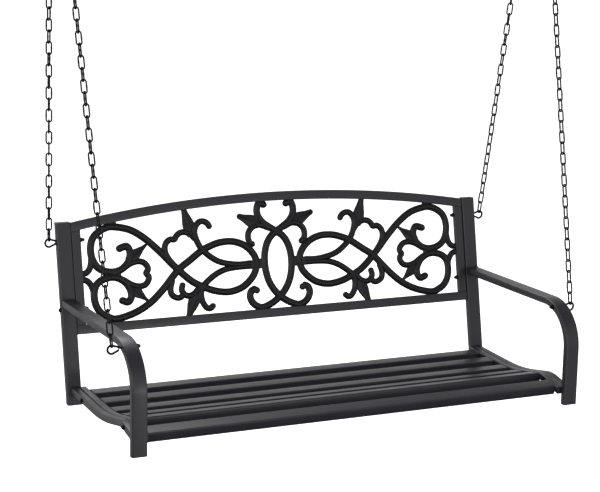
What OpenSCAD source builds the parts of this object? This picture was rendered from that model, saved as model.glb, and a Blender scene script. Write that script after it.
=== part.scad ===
// Hanging porch swing: a steel bench with a cast scroll back, hung by four link chains
// from two ceiling hooks. X runs along the seat, Y from front to back and Z up.
// The origin is on the floor side of the bench, in the middle of its width and depth.

/* [Bench] */
// Width over the two side frames
bench_w = 1270; // [1100:10:1500]
// Depth from the front legs to the back's top edge
bench_d = 597.5; // [590:0.5:610]
// Height of the back posts
post_h = 471; // [450:1:480]
// Angle of the back from upright
lean = 11.2; // [9:0.1:13]
// Height of the armrests' top
arm_h = 273; // [255:1:290]
// Outer radius of the bend from armrest to front leg
arm_bend = 120; // [90:1:140]

/* [Tubes] */
// Width of the side frames' tube
main_w = 40; // [34:1:45]
// Thickness of the side frames' tube
main_t = 19; // [17:1:22]
// Width of the seat's side rails
rail_w = 20; // [16:1:20]
// Height of the seat's side rails
rail_h = 18.5; // [16:0.5:22]
// Face width of the back panel's arch and bottom rail
panel_rail = 25; // [20:1:27]
// Face width of the back panel's stiles
panel_stile = 25; // [20:0.5:27]
// Depth of the back panel's tube
panel_t = 12; // [10:1:14]
// Wall of the frame's tubes
wall = 1.3; // [1:0.1:1.8]
// Wall of the slats
slat_wall = 0.7; // [0.7:0.1:1.5]

/* [Seat] */
// Width of a slat
slat_w = 40; // [34:1:42]
// Thickness of a slat
slat_t = 26; // [16:0.5:27]
// Distance from slat to slat along the seat
slat_pitch = 78; // [76:0.2:79]

/* [Back panel] */
// Bottom edge, measured up the slope of the back
panel_low = 184.3; // [175:0.1:190]
// Top of the arch, measured up the slope of the back
panel_top = 531; // [520:1:535]
// Rise of the arch from its ends to its middle
arch_rise = 47; // [30:1:50]
// Gap between the panel and each post
panel_gap = 1.5; // [0.5:0.1:3]
// Width of the scroll's bars
bar_w = 17; // [14:0.5:18]
// Width of the scroll's curls and branches
curl_w = 14.5; // [12:0.5:15]
// Thickness of the scroll casting
cast_t = 7.7; // [6:0.5:10]

/* [Hanging] */
// Distance from the bench's middle to each hook
hook_x = 700; // [690:5:740]
// Height of the hooks' bearing point
hook_z = 1650; // [1500:10:1900]
// How far the hooks stand behind the middle of the bench
hook_y = 103.4; // [90:0.1:120]
// Wire of the chain links
link_wire = 4.2; // [3.6:0.1:4.4]
// Outer width of a chain link
link_w = 18; // [17.5:0.5:20]
// Inner length of a chain link
link_l = 30; // [26:1:34]
// Wire of the eye bolts' loops
eye_wire = 5.8; // [5:0.1:6]
// Radius of the eye bolts' loops, to the middle of the wire
eye_r = 10.5; // [10.5:0.5:12]
// Radius of the hanging rings, to the middle of the wire
ring_r = 22; // [20:1:26]
// Wire of the hanging rings
ring_wire = 7; // [6:0.5:8]
// Wire of the ceiling hooks
hook_wire = 8; // [7:0.5:9]
// Length of the ceiling hooks' threaded shank
shank_l = 50; // [40:1:70]

/* [Hidden] */

frame_black = [0.20, 0.20, 0.21];
cast_black = [0.13, 0.13, 0.14];
hardware_black = [0.06, 0.06, 0.07];
plastic_black = [0.09, 0.09, 0.09];

$fn = 32;
clear = 0.1;                 // gap between pieces that slide into each other
plug_cap = 1.5;              // what shows of a tube plug
plug_l = 14;                 // what is inside the tube
main_r = 4;                  // outer corner radii of the tubes
panel_r = 2;
slat_r = 3;

side_x = (bench_w - main_w) / 2;            // middle of a side frame
slope_y = sin(lean);
slope_z = cos(lean);
panel_back = (main_t - panel_t) / 2;        // the panel's front behind the posts' front
post_y = bench_d - panel_top * slope_y - (panel_back + panel_t) * slope_z;  // posts' front, at the floor
panel_x = bench_w / 2 - main_w - panel_gap; // the panel's ends

// The seat's side, from front to back as [length, turn], turning up when positive
seat_start = [main_t - 4, 35.9];  // inside the leg, and cut off at its back
seat_slope = 12.5;
seat_path = [[72, 0], [44.2, -23], [58, 0], [136.1, 13], [190, 0]];
seat_front_y = main_t + 1;   // ends of the seat's own rails
seat_end_y = 484;
seat_gap = 1;                // between the seat's rail and the side frame's
outer_rail_x = side_x;       // middle of the side frame's rail
inner_rail_x = outer_rail_x - rail_w - seat_gap;
slat_end = inner_rail_x - rail_w / 2;
first_slat = 36;             // arc length to the middle of the front slat

// Arm and leg, from the foot up and back
arm_mid_r = arm_bend - main_t / 2;
arm_path = [[arm_h - arm_bend, 0], [arm_mid_r * PI / 2, -90], [440, 0]];

// Fasteners
bolt_r = 3;
hole_r = 3.2;
washer_t = 1.2;
washer_r = 7;
nut_w = 10;                  // across flats
eye_angle = 22.5;            // where the front eye bolt sits on the arm's bend
eye_high = 433;              // back eye bolts, up the slope
panel_bolt_high = 252;       // panel bolts, up the slope
seat_bolt_at = [75, 388];    // seat bolts, along the seat's side
eye_out = [24, 16, 19];      // tube face to loop centre: left front, right front, back
eye_drop = 3;                // loop centre below the shank's
hex_h = 5;                   // height of a nut's hexagon
dome_r = 4.5;                // cap nuts' domes
front_cap = 9;               // heights of the cap nuts
back_cap = 11;
panel_cap = 10;
head_r = 5.5;                // round bolt heads
head_h = 4;

//--- placing -------------------------------------------------------------------------------

// Moves from bench coordinates, with Y = 0 at the front legs' front face, to the part's frame
module bench() translate([0, -bench_d / 2, 0]) children();

module mirrored_if(flip) mirror([flip ? 1 : 0, 0, 0]) children();

module both_sides() { children(); mirror([1, 0, 0]) children(); }

// X stays, Y runs up the slope of the back and Z out of its front; 0 is the posts' front face
module on_back() translate([0, post_y, 0]) rotate([90 - lean, 0, 0]) children();

// A cylinder along X from x0 to x1
module rod(r, x0, x1) translate([x0, 0, 0]) rotate([0, 90, 0]) cylinder(r = r, h = x1 - x0);

//--- sections and bent runs ----------------------------------------------------------------

module rounded(w, t, r) {
    square([w - 2 * r, t], center = true);
    square([w, t - 2 * r], center = true);
    for (x = [-1, 1], y = [-1, 1])
        translate([x * (w / 2 - r), y * (t / 2 - r)]) circle(r);
}

module tube(w, t, r, wall = wall) difference() {
    rounded(w, t, r);
    rounded(w - 2 * wall, t - 2 * wall, r - wall);
}

// Position [y, z] and heading after one step of a path
function step_end(p, a, s) =
    s[1] == 0 ? [p + s[0] * [cos(a), sin(a)], a]
    : let (r = s[0] * 180 / (PI * s[1]))
      [p + r * [sin(a + s[1]) - sin(a), cos(a) - cos(a + s[1])], a + s[1]];

function path_state(path, p, a, k) =
    k == 0 ? [p, a]
    : let (before = path_state(path, p, a, k - 1)) step_end(before[0], before[1], path[k - 1]);

// Position and heading at a length along a path
function along(path, p, a, s, k = 0) =
    s <= path[k][0] || k == len(path) - 1
    ? step_end(p, a, [s, path[k][1] * s / path[k][0]])
    : let (next = step_end(p, a, path[k])) along(path, next[0], next[1], s - path[k][0], k + 1);

// Sweeps a section, X across and Y through, along a path in the YZ plane
module run(path, p, a) {
    for (k = [0:len(path) - 1]) {
        at = path_state(path, p, a, k);
        turn = path[k][1];
        r = turn == 0 ? 0 : abs(path[k][0] * 180 / (PI * turn));
        translate([0, at[0][0], at[0][1]]) rotate([at[1] - 90, 0, 0])
            if (turn == 0) linear_extrude(path[k][0]) children();
            else mirror([0, turn > 0 ? 1 : 0, 0]) translate([0, r, 0]) rotate([90, 0, -90])
                rotate_extrude(angle = abs(turn), $fn = 96) translate([r, 0]) rotate(90) children();
    }
}

// Everything in front of, or behind, the posts' front face
module before_posts() translate([0, post_y, 0]) rotate([-lean, 0, 0])
    translate([-bench_w, -2 * bench_d, -bench_d]) cube([2 * bench_w, 2 * bench_d, 3 * bench_d]);

// Points beside a path, a bend taking one for every two degrees
function beside(path, p, a, off, k = 0) =
    k == len(path) ? [p + off * [-sin(a), cos(a)]]
    : let (n = path[k][1] == 0 ? 1 : ceil(abs(path[k][1]) / 2), next = step_end(p, a, path[k]))
      concat(
          [for (j = [0:n - 1])
              let (q = step_end(p, a, path[k] * j / n)) q[0] + off * [-sin(q[1]), cos(q[1])]],
          beside(path, next[0], next[1], off, k + 1));

// Solid of even height along the seat's side, w wide
module seat_band(w, h) {
    above = beside(seat_path, seat_start, seat_slope, h / 2);
    below = beside(seat_path, seat_start, seat_slope, -h / 2);
    rotate([90, 0, 90]) linear_extrude(w, center = true)
        polygon(concat(above, [for (i = [len(below) - 1:-1:0]) below[i]]));
}

// Box tube along the seat's side
module seat_tube() difference() {
    seat_band(rail_w, rail_h);
    seat_band(rail_w - 2 * wall, rail_h - 2 * wall);
}

//--- side frames ---------------------------------------------------------------------------

module post_bar(low, high) intersection() {
    on_back() translate([side_x, -60, -main_t / 2]) rotate([-90, 0, 0])
        linear_extrude(post_h + 160) children();
    translate([0, 0, low]) cube([bench_w, 2 * bench_d, high - low]);
}

module cross_hole(high) on_back() translate([0, high, -main_t / 2]) rod(hole_r, 0, bench_w);

module back_post(flip) color(frame_black) bench() mirrored_if(flip) difference() {
    post_bar(plug_cap, post_h - plug_cap) tube(main_w, main_t, main_r);
    cross_hole(eye_high);
    cross_hole(panel_bolt_high);
}

module post_plugs(low, cap_low, stub_low) color(plastic_black) bench() both_sides() {
    post_bar(cap_low, cap_low + plug_cap) rounded(main_w, main_t, main_r);
    post_bar(stub_low, stub_low + plug_l)
        rounded(main_w - 2 * (wall + clear), main_t - 2 * (wall + clear), main_r - wall);
}

module post_top_plugs() post_plugs(0, post_h - plug_cap, post_h - plug_cap - plug_l);

module post_foot_plugs() post_plugs(0, 0, plug_cap);

module leg_foot_plugs() color(plastic_black) bench() both_sides()
    translate([side_x, main_t / 2, 0]) {
        linear_extrude(plug_cap) rounded(main_w, main_t, main_r);
        translate([0, 0, plug_cap]) linear_extrude(plug_l)
            rounded(main_w - 2 * (wall + clear), main_t - 2 * (wall + clear), main_r - wall);
    }

function front_eye() = [
    main_t / 2 + arm_mid_r * (1 - sin(eye_angle)), arm_h - arm_bend + arm_mid_r * cos(eye_angle)];

module arm_and_leg(flip) color(frame_black) bench() mirrored_if(flip) difference() {
    intersection() {
        translate([side_x, 0, 0]) run(arm_path, [main_t / 2, 0], 90) tube(main_w, main_t, main_r);
        before_posts();
    }
    translate([0, -1, -1]) cube([bench_w, main_t + 2, 1 + plug_cap]);
    translate([0, front_eye()[0], front_eye()[1]]) rod(hole_r, 0, bench_w);
}

module seat_bolt_line(i) {
    at = along(seat_path, seat_start, seat_slope, seat_bolt_at[i])[0];
    translate([0, at[0], at[1]]) children();
}

module seat_holes() for (i = [0, 1]) seat_bolt_line(i) rod(hole_r, 0, bench_w);

// The side rail starts inside the leg's back face and ends at the post's front face
module side_rail(flip) color(frame_black) bench() mirrored_if(flip) difference() {
    intersection() {
        translate([outer_rail_x, 0, 0]) seat_tube();
        before_posts();
        translate([0, main_t, 0]) cube([bench_w, bench_d, arm_h]);
    }
    seat_holes();
}

//--- back panel ----------------------------------------------------------------------------

arch_half = panel_x - panel_stile;
arch_r = (arch_half * arch_half + arch_rise * arch_rise) / (2 * arch_rise);  // lower edge
arch_centre = panel_top - panel_rail - arch_r;
arch_angle = asin(panel_x / arch_r) + 1;
cast_fillet = 1.6;           // where the casting's bars meet

module panel_place() on_back() translate([0, 0, -panel_back - panel_t / 2]) children();

module back_top_rail() color(frame_black) bench() panel_place() intersection() {
    translate([0, arch_centre, 0]) rotate(90 - arch_angle)
        rotate_extrude(angle = 2 * arch_angle, $fn = 240)
            translate([arch_r + panel_rail / 2, 0]) tube(panel_rail, panel_t, panel_r);
    translate([-panel_x, 0, -panel_t]) cube([2 * panel_x, 2 * panel_top, 2 * panel_t]);
}

module back_bottom_rail() color(frame_black) bench() panel_place()
    translate([-panel_x, panel_low + panel_rail / 2, 0]) rotate([90, 0, 90])
        linear_extrude(2 * panel_x) tube(panel_rail, panel_t, panel_r);

module back_stile(flip) color(frame_black) bench() mirrored_if(flip) difference() {
    panel_place() intersection() {
        translate([panel_x - panel_stile / 2, panel_low + panel_rail, 0]) rotate([-90, 0, 0])
            linear_extrude(panel_top) tube(panel_stile, panel_t, panel_r);
        translate([0, arch_centre, -panel_t])
            cylinder(r = arch_r - clear / 2, h = 2 * panel_t, $fn = 720);
    }
    cross_hole(eye_high);
    cross_hole(panel_bolt_high);
}

// A smooth curve through points, three steps from one to the next
function blend(a, b, c, d, t) = 0.5 * (2 * b + (c - a) * t
    + (2 * a - 5 * b + 4 * c - d) * t * t + (3 * b - a - 3 * c + d) * t * t * t);
function curve(p, n = 3) = let (last = len(p) - 1) concat(
    [for (i = [0:last - 1], j = [0:n - 1])
        blend(p[max(i - 1, 0)], p[i], p[i + 1], p[min(i + 2, last)], j / n)],
    [p[last]]);
function normal(q, i) = let (
    last = len(q) - 1, d = q[min(i + 1, last)] - q[max(i - 1, 0)]) [-d[1], d[0]] / norm(d);

// A bar of even width with round ends, along a curve
module bar(points, w = bar_w) {
    q = curve(points);
    last = len(q) - 1;
    polygon(concat(
        [for (i = [0:last]) q[i] + normal(q, i) * w / 2],
        [for (i = [last:-1:0]) q[i] - normal(q, i) * w / 2]));
    for (end = [q[0], q[last]]) translate(end) circle(w / 2, $fn = 20);
}

// A leaf from its root to its tip, widest at a third
module leaf(root, tip, w, blunt = 0.25) {
    axis = tip - root;
    side = [-axis[1], axis[0]] / norm(axis);
    steps = 10;
    function half(t) = w / 2 * ((1 - t) * 0.75 + t * blunt + 0.9 * sin(180 * t) * (1 - t));
    polygon(concat(
        [for (i = [0:steps]) root + axis * i / steps + side * half(i / steps)],
        [for (i = [steps:-1:0]) root + axis * i / steps - side * half(i / steps)]));
    translate(tip) circle(w / 2 * blunt, $fn = 16);
}

// The right half of the scroll; X from the middle of the back and Y up its slope.
// Two long bars cross at the knot: each runs from a C curl by the stile, over the knot
// and round one side of the almond.
module long_bars() {
    bar([[461, 403], [442, 408], [434, 399], [432, 386], [436, 370], [447, 356], [462, 346],
        [482, 342], [504, 345], [523, 355], [535, 371], [541, 391], [541, 413], [534, 434],
        [519, 449], [499, 459], [476, 462], [429, 451], [389, 426], [349, 389], [309, 346],
        [264, 304], [229, 284], [194, 270], [154, 264], [119, 271], [94, 286], [74, 308], [64, 334]]);
    bar([[462, 264], [447, 259], [438, 268], [436, 281], [440, 296], [451, 312], [469, 324],
        [489, 328], [512, 324], [529, 314], [538, 298], [540, 276], [535, 253], [522, 234],
        [502, 222], [479, 217], [429, 229], [384, 252], [344, 286], [299, 333], [264, 357],
        [224, 383], [184, 398], [154, 402], [129, 400], [104, 391], [84, 376], [70, 356], [64, 334]]);
}

// Ties from the C curls to the stile, and lugs from their crowns to the rails
module ties() {
    bar([[541, 384], [543, 368], [548, 354], [557, 345], [arch_half, 342]], curl_w);
    bar([[540, 288], [543, 302], [549, 315], [558, 324], [arch_half, 327]], curl_w);
    translate([466, 462]) square([24, 20]);
    translate([466, 204]) square([24, 16]);
}

// Heart between the C curls, with a leaf above and below
module heart() {
    bar([[479, 338], [456, 348], [435, 360], [416, 365], [399, 363], [388, 354], [384, 343],
        [390, 333]], curl_w);
    bar([[479, 329], [454, 318], [434, 305], [415, 299], [398, 300], [387, 309], [383, 321],
        [390, 332]], curl_w);
    leaf([438, 368], [384, 409], 20);
    leaf([436, 299], [389, 258], 20);
}

// Stem with its collar, branching across the almond into an upper and a lower sprig
module branches() {
    translate([72, 321]) square([12, 24]);
    bar([[84, 338], [119, 337], [154, 342], [182, 351], [206, 367], [226, 386], [238, 408],
        [244, 431], [240, 448], [229, 460], [216, 461], [205, 455], [200, 447]], curl_w);
    bar([[84, 330], [119, 330], [154, 327], [182, 318], [207, 303], [226, 287], [234, 272],
        [235, 256], [231, 240], [222, 227], [212, 223], [203, 229]], curl_w);
    leaf([252, 424], [272, 500], 28, 0.55);
    leaf([248, 266], [278, 200], 26, 0.55);
    bar([[244, 416], [256, 429], [272, 435], [286, 434], [297, 426], [303, 417], [315, 418],
        [326, 411], [332, 398], [331, 382], [323, 366], [311, 350], [301, 337]], curl_w);
    bar([[238, 283], [254, 268], [270, 262], [284, 267], [291, 280], [288, 292]], curl_w);
    bar([[317, 306], [323, 286], [321, 270], [310, 261], [298, 259], [290, 264]], curl_w);
}

// One of the two bars that cross above and below the oval, with its sprig
module middle_bar() {
    bar([[34, 497], [48, 501], [55, 484], [52, 465], [40, 448], [22, 435], [0, 421], [-17, 409],
        [-30, 391], [-38, 368], [-41, 342], [-39, 312], [-31, 283], [-17, 259], [0, 241], [18, 228],
        [38, 216], [56, 210], [74, 219], [88, 236], [92, 253], [85, 266], [72, 263]]);
    translate([70, 262]) circle(9.5);
    bar([[40, 435], [53, 439], [71, 435], [83, 424], [86, 408], [82, 395], [75, 390]], curl_w);
    leaf([60, 447], [113, 471], 20, 0.3);
}

// Where the oval meets the almond
module weld_land() translate([44, 320]) square([16, 30]);

// The window in the panel that the casting fills
module panel_window() intersection() {
    translate([0, arch_centre]) circle(arch_r, $fn = 720);
    translate([-arch_half, panel_low + panel_rail]) square([2 * arch_half, panel_top]);
}

module back_scroll_casting() color(cast_black) bench() panel_place()
    translate([0, 0, -cast_t / 2]) linear_extrude(cast_t)
        offset(r = -cast_fillet, $fn = 16) offset(delta = cast_fillet) intersection() {
            union() {
                both_sides() {
                    long_bars();
                    ties();
                    heart();
                    branches();
                    middle_bar();
                    weld_land();
                }
            }
            panel_window();
        }

//--- seat ----------------------------------------------------------------------------------

module seat_rail(flip) color(frame_black) bench() mirrored_if(flip) difference() {
    intersection() {
        translate([inner_rail_x, 0, 0]) seat_tube();
        translate([0, seat_front_y + plug_cap, 0])
            cube([bench_w, seat_end_y - seat_front_y - 2 * plug_cap, arm_h]);
    }
    seat_holes();
}

// Plugs at both ends of the seat's own rails
module seat_rail_plug(section_w, section_h, low, high) intersection() {
    translate([inner_rail_x, 0, 0]) seat_band(section_w, section_h);
    translate([0, low, 0]) cube([bench_w, high - low, arm_h]);
}

module seat_rail_plugs() color(plastic_black) bench() both_sides() {
    inner = 2 * (wall + clear);
    for (cap = [seat_front_y, seat_end_y - plug_cap])
        seat_rail_plug(rail_w, rail_h, cap, cap + plug_cap);
    seat_rail_plug(rail_w - inner, rail_h - inner,
        seat_front_y + plug_cap, seat_front_y + plug_l);
    seat_rail_plug(rail_w - inner, rail_h - inner,
        seat_end_y - plug_l, seat_end_y - plug_cap);
}

// Slat 1 is the one at the front
module seat_slat(i) color(frame_black) bench() {
    at = along(seat_path, seat_start, seat_slope, first_slat + i * slat_pitch);
    translate([-slat_end, at[0][0], at[0][1]]) rotate([at[1], 0, 0])
        translate([0, 0, (rail_h - slat_t) / 2]) rotate([90, 0, 90])
            linear_extrude(2 * slat_end) tube(slat_w, slat_t, slat_r, slat_wall);
}

//--- fasteners -----------------------------------------------------------------------------

// A nut with a domed cap, from x going inwards along X to its height, with its blind hole
module cap_nut(x, high) translate([x, 0, 0]) rotate([0, -90, 0]) difference() {
    union() {
        cylinder(r = nut_w / sqrt(3), h = hex_h, $fn = 6);
        cylinder(r = dome_r, h = high - dome_r);
        translate([0, 0, high - dome_r]) intersection() {
            sphere(dome_r);
            cylinder(r = nut_w, h = nut_w);
        }
    }
    translate([0, 0, -1]) cylinder(r = bolt_r + clear / 2, h = high - 1);
}

module washer(x) difference() {
    rod(washer_r, x, x + washer_t);
    rod(hole_r, x - 1, x + washer_t + 1);
}

// Loop in the XZ plane with its centre at x, and a shank going inwards to its tip
module eye_bolt(x, tip) {
    translate([x, 0, -eye_drop]) rotate([90, 0, 0])
        rotate_extrude() translate([eye_r, 0]) circle(eye_wire / 2);
    rod(bolt_r, tip, x - eye_r);
}

module front_eye_line() translate([0, front_eye()[0], front_eye()[1]]) children();

// Middle of the back posts, at a height up the slope
function post_middle(high) = [
    post_y + high * slope_y + main_t / 2 * slope_z, high * slope_z - main_t / 2 * slope_y];

module post_line(high) translate([0, post_middle(high)[0], post_middle(high)[1]]) children();

outer_x = bench_w / 2;
arm_inner_x = outer_x - main_w;
panel_inner_x = arch_half;

module front_eye_bolt(flip) color(hardware_black) bench() mirrored_if(flip) front_eye_line()
    eye_bolt(outer_x + eye_out[flip ? 0 : 1], arm_inner_x - washer_t - hex_h);

module back_eye_bolt(flip) color(hardware_black) bench() mirrored_if(flip) post_line(eye_high)
    eye_bolt(outer_x + eye_out[2], panel_inner_x - washer_t - hex_h);

module eye_bolt_washers() color(hardware_black) bench() both_sides() {
    front_eye_line() washer(arm_inner_x - washer_t);
    post_line(eye_high) washer(panel_inner_x - washer_t);
}

module eye_bolt_cap_nuts() color(hardware_black) bench() both_sides() {
    front_eye_line() cap_nut(arm_inner_x - washer_t, front_cap);
    post_line(eye_high) cap_nut(panel_inner_x - washer_t, back_cap);
}

module round_bolt(tip, seat) {
    rod(bolt_r, tip, seat);
    rod(head_r, seat, seat + head_h);
}

module panel_bolts() color(hardware_black) bench() both_sides() post_line(panel_bolt_high)
    round_bolt(panel_inner_x - washer_t - hex_h, outer_x + washer_t);

module panel_washers() color(hardware_black) bench() both_sides() post_line(panel_bolt_high) {
    washer(outer_x);
    washer(panel_inner_x - washer_t);
}

module panel_cap_nuts() color(hardware_black) bench() both_sides() post_line(panel_bolt_high)
    cap_nut(panel_inner_x - washer_t, panel_cap);

seat_out = outer_rail_x + rail_w / 2;

module seat_bolts() color(hardware_black) bench() both_sides() for (i = [0, 1]) seat_bolt_line(i)
    round_bolt(slat_end - washer_t - hex_h - 1, seat_out + washer_t);

module seat_washers() color(hardware_black) bench() both_sides() for (i = [0, 1]) seat_bolt_line(i) {
    washer(seat_out);
    washer(slat_end - washer_t);
}

module seat_nuts() color(hardware_black) bench() both_sides() for (i = [0, 1]) seat_bolt_line(i)
    translate([slat_end - washer_t - hex_h, 0, 0]) rotate([0, 90, 0]) difference() {
        cylinder(r = nut_w / sqrt(3), h = hex_h, $fn = 6);
        translate([0, 0, -1]) cylinder(r = bolt_r + clear / 2, h = hex_h + 2);
    }

//--- chains, rings and hooks ---------------------------------------------------------------

play = 0.3;                  // running gap between links, loops and rings
ring_x = hook_x;
ring_y = bench_d / 2 + hook_y;
ring_z = hook_z - (ring_r - ring_wire / 2 - hook_wire / 2 - play);

// One link along Z, centred, with its flat side facing X
module link() {
    r = (link_w - link_wire) / 2;
    straight = link_l + link_wire - 2 * r;
    for (side = [-1, 1]) {
        translate([0, side * r, -straight / 2]) cylinder(r = link_wire / 2, h = straight);
        translate([0, 0, side * straight / 2]) rotate([90, 0, 90]) rotate(side > 0 ? 0 : 180)
            rotate_extrude(angle = 180) translate([r, 0]) circle(link_wire / 2);
    }
}

function unit(v) = v / norm(v);

// Links from an eye bolt's loop up to the ring, in a slow twist that turns the last link to fit.
// The chain's line runs between the two wires that it hangs on.
module chain(eye) {
    ring = [ring_x, ring_y, ring_z];
    way = ring - eye;
    from = eye + eye_r * unit([way[0], 0, way[2]]);
    to = ring - ring_r * unit([0, way[1], way[2]]);
    up = unit(to - from);
    from_eye = eye_wire / 2 + link_wire / 2 + play;
    past_ring = ring_wire / 2 + link_wire / 2 + play;
    run_l = norm(to - from) + from_eye + past_ring - link_l - link_wire;
    gaps = ceil(run_l / (link_l - play));
    twist = gaps % 2 == 0 ? 90 : 0;
    heading = atan2(up[1], up[0]);
    for (i = [0:gaps])
        translate(from + up * ((link_l + link_wire) / 2 - from_eye + i * run_l / gaps))
            rotate([0, 0, heading]) rotate([0, acos(up[2]), 0]) rotate([0, 0, -heading])
                rotate([0, 0, i * (90 + twist / gaps)]) link();
}

function eye_centre(out, at) = [outer_x + out, at[0], at[1] - eye_drop];

module front_chain(flip) color(hardware_black) bench() mirrored_if(flip)
    chain(eye_centre(eye_out[flip ? 0 : 1], front_eye()));

module back_chain(flip) color(hardware_black) bench() mirrored_if(flip)
    chain(eye_centre(eye_out[2], post_middle(eye_high)));

module hanging_ring(flip) color(hardware_black) bench() mirrored_if(flip)
    translate([ring_x, ring_y, ring_z]) rotate([0, 90, 0])
        rotate_extrude($fn = 64) translate([ring_r, 0]) circle(ring_wire / 2);

// Hook in the XZ plane: from the tip round the bowl, along the neck and up the shank
hook_bowl = 14;
hook_tip = -205;             // where the bowl starts, counted from +X
hook_meet = 60;              // where it runs out into the neck
neck_l = hook_bowl / tan(hook_meet);
knee_z = hook_bowl + hook_bowl / sin(hook_meet);
stem_l = 12.5;               // shank and collar below the thread
collar_h = 2.5;
collar_r = 8;
point_l = 9;                 // the screw's point
point_r = 0.6;
joint_r = hook_wire / 2 + 0.2;  // the balls that join the hook's bends

module ceiling_hook(flip) color(hardware_black) bench() mirrored_if(flip)
    translate([ring_x, ring_y, hook_z]) {
        translate([0, 0, hook_bowl]) rotate([90, 0, 0]) rotate(hook_tip)
            rotate_extrude(angle = hook_meet - hook_tip) translate([hook_bowl, 0]) circle(hook_wire / 2);
        translate([0, 0, hook_bowl]) rotate([0, -hook_meet, 0]) translate([hook_bowl, 0, 0]) {
            sphere(joint_r);
            cylinder(r = hook_wire / 2, h = neck_l);
        }
        translate([0, 0, knee_z]) sphere(joint_r);
        translate([0, 0, knee_z]) cylinder(r = hook_wire / 2, h = stem_l + shank_l);
        translate([0, 0, knee_z + stem_l + shank_l]) cylinder(r1 = hook_wire / 2, r2 = point_r, h = point_l);
        translate([0, 0, knee_z + stem_l - collar_h]) cylinder(r = collar_r, h = collar_h);
    }

//--- the part ------------------------------------------------------------------------------

back_post(true);  // left_back_post
back_post(false);  // right_back_post
arm_and_leg(true);  // left_arm_and_leg
arm_and_leg(false);  // right_arm_and_leg
side_rail(true);  // left_side_rail
side_rail(false);  // right_side_rail
post_top_plugs();
post_foot_plugs();
leg_foot_plugs();
back_top_rail();
back_bottom_rail();
back_stile(true);  // back_left_stile
back_stile(false);  // back_right_stile
back_scroll_casting();
seat_rail(true);  // seat_left_rail
seat_rail(false);  // seat_right_rail
seat_rail_plugs();
seat_slat(0);  // seat_slat_1
seat_slat(1);  // seat_slat_2
seat_slat(2);  // seat_slat_3
seat_slat(3);  // seat_slat_4
seat_slat(4);  // seat_slat_5
seat_slat(5);  // seat_slat_6
front_eye_bolt(true);  // left_front_eye_bolt
front_eye_bolt(false);  // right_front_eye_bolt
back_eye_bolt(true);  // left_back_eye_bolt
back_eye_bolt(false);  // right_back_eye_bolt
eye_bolt_washers();
eye_bolt_cap_nuts();
panel_bolts();
panel_washers();
panel_cap_nuts();
seat_bolts();
seat_washers();
seat_nuts();
front_chain(true);  // left_front_chain
front_chain(false);  // right_front_chain
back_chain(true);  // left_back_chain
back_chain(false);  // right_back_chain
hanging_ring(true);  // left_hanging_ring
hanging_ring(false);  // right_hanging_ring
ceiling_hook(true);  // left_ceiling_hook
ceiling_hook(false);  // right_ceiling_hook
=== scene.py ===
"""Hanging porch swing: the looks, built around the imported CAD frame.

Metres, in the row frame: X along the seat, Y from front to back, Z up. Sections and
fastener sizes are the CAD's own, and places come from the CAD nodes' boxes.
"""
import math
import random

import bpy
import numpy as np
from mathutils import Matrix, Vector


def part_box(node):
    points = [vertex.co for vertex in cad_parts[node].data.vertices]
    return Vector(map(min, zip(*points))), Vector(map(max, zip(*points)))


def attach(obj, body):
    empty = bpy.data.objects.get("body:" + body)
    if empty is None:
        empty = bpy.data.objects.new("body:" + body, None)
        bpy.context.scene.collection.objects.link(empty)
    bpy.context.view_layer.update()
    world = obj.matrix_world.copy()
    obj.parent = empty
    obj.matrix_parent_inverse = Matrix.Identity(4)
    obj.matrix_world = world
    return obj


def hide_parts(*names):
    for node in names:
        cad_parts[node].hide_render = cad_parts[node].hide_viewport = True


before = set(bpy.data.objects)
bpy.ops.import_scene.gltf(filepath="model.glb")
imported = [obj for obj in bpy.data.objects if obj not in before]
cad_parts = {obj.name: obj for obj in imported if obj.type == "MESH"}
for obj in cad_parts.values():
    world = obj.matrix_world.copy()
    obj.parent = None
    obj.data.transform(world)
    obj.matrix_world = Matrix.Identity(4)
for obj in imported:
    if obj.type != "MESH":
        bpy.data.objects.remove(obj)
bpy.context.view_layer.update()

SWING = "swing_on_chains"
CEILING = "ceiling_hooks"
MM = 0.001
SIDES = {"left": -1, "right": 1}


# --- driving sizes, in metres -------------------------------------------------------------

LEAN = math.radians(11.2)
PANEL_TOP = 0.531
PANEL_LOW = 0.1843
PANEL_RAIL = 0.025
PANEL_STILE = 0.025
PANEL_DEPTH = 0.012
PANEL_CORNER = 0.002
ARCH_RISE = 0.047
MAIN_W = 0.040
MAIN_T = 0.019
MAIN_CORNER = 0.004
RAIL_W = 0.020
RAIL_H = 0.0185
RAIL_CORNER = 0.003
SLAT_CORNER = 0.003
ARM_BEND = 0.120
PLUG_CAP = 0.0015
CAST_DEPTH = 0.0077
CAST_CREST = 0.0012
BAR_WIDTH = 0.0198
CURL_WIDTH = 0.0170
LEAF_LIFT = 0.1               # in millimetres, as the scroll's own lines are
CROSSING_STEP = 0.9           # how far the right middle bar passes over its mirror image
BOLT_R = 0.003
EYE_R = 0.0105
EYE_WIRE = 0.0058
EYE_DROP = 0.003              # from the bolt's axis down to the loop's middle
EYE_NECK = EYE_R * 1.75       # from the loop's middle to the shank
LINK_WIRE = 0.0042
LINK_WIDTH = 0.018
LINK_LENGTH = 0.030
RING_R = 0.022
RING_WIRE = 0.007
HOOK_WIRE = 0.008
HOOK_BOWL = 0.014
HOOK_TIP = -205               # degrees round the bowl, where the wire ends
HOOK_MEET = 60                # degrees round the bowl, where the neck leaves it
HOOK_NECK = 0.0125            # from the knee to the thread
COLLAR_R = 0.008
COLLAR_H = 0.0025
RUNNING_GAP = 0.0003
EYE_OPEN = 47                 # degrees either side of the neck that the loop leaves open
FRONT_CAP = 0.009
BACK_CAP = 0.011
PANEL_CAP = 0.010
HEX_HEIGHT = 0.005
HEAD_R = 0.0055
HEAD_H = 0.004
NUT_FLAT = 0.005
NUT_CORNER = NUT_FLAT / math.cos(math.pi / 6)
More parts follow.
